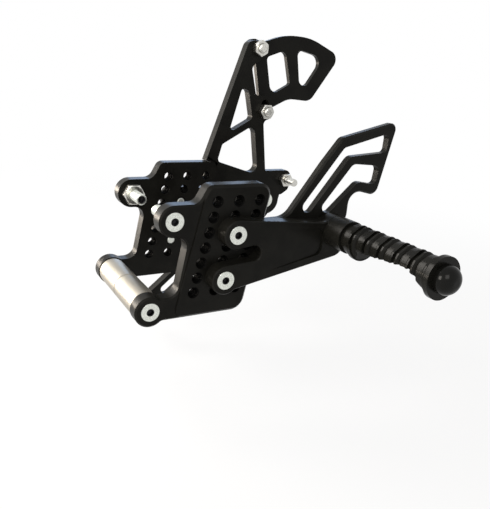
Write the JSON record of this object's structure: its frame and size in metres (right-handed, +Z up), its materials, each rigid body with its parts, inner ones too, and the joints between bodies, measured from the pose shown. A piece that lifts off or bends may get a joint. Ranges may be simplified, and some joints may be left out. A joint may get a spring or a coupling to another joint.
{
  "type": "rear sets footrest",
  "caption": "Adjustable motorcycle rear sets: slotted footrest hangers on drilled mounting plates, ringed pegs, heel guards and a pivoting brake pedal, joined by cross spacers.",
  "frame": {"origin": "on the axis of the lower frame fixing, half way between the left and right sides", "axes": "+X to the rear of the motorcycle, +Y to its right side along the footpegs, +Z up"},
  "size_m": [0.2535, 0.402, 0.2825],
  "materials": {
    "black_anodised": "satin black anodised",
    "bright_steel": "bright zinc",
    "turned_aluminium": "turned, bare",
    "black_plastic": "smooth satin",
    "bronze": "plain bearing"
  },
  "bodies": {
    "frame_set": {"brake_pedal_bush": "bronze", "fan_bolt_lower": "bright_steel", "fan_bolt_upper": "bright_steel", "fan_nut_lower": "bright_steel", "fan_nut_upper": "bright_steel", "joining_stud": "bright_steel", "left_footpeg": "black_anodised", "left_footpeg_end_cap": "black_plastic", "left_footpeg_screw": "bright_steel", "left_footpeg_sleeve": "black_anodised", "left_guard_screw": "bright_steel", "left_hanger": "black_anodised", "left_hanger_screw_lower": "bright_steel", "left_hanger_screw_upper": "bright_steel", "left_heel_guard": "black_anodised", "left_lower_frame_screw": "bright_steel", "left_mounting_plate": "black_anodised", "left_spacer": "turned_aluminium", "left_upper_frame_bolt": "bright_steel", "left_upper_frame_nut": "bright_steel", "pedal_washer_inner": "bright_steel", "pedal_washer_outer": "bright_steel", "right_footpeg": "black_anodised", "right_footpeg_end_cap": "black_plastic", "right_footpeg_screw": "bright_steel", "right_guard_screw": "bright_steel", "right_hanger": "black_anodised", "right_hanger_screw_lower": "bright_steel", "right_hanger_screw_upper": "bright_steel", "right_heel_guard_bracket": "black_anodised", "right_heel_guard_fan": "black_anodised", "right_lower_frame_screw": "bright_steel", "right_mounting_plate": "black_anodised", "right_spacer": "turned_aluminium", "right_upper_frame_bolt": "bright_steel", "right_upper_frame_nut": "bright_steel"},
    "brake_pedal": {"brake_pedal": "black_anodised", "brake_toe_peg": "black_anodised", "brake_toe_screw": "bright_steel", "pushrod_stud": "bright_steel", "pushrod_nut": "bright_steel"}
  },
  "joints": [
    {"name": "brake_pedal_pivot", "type": "hinge", "parent": "frame_set", "child": "brake_pedal", "pos_m": [0.1643, 0.08, 0.0576], "axis": [0, -1, 0], "range_deg": [0, 15]}
  ]
}
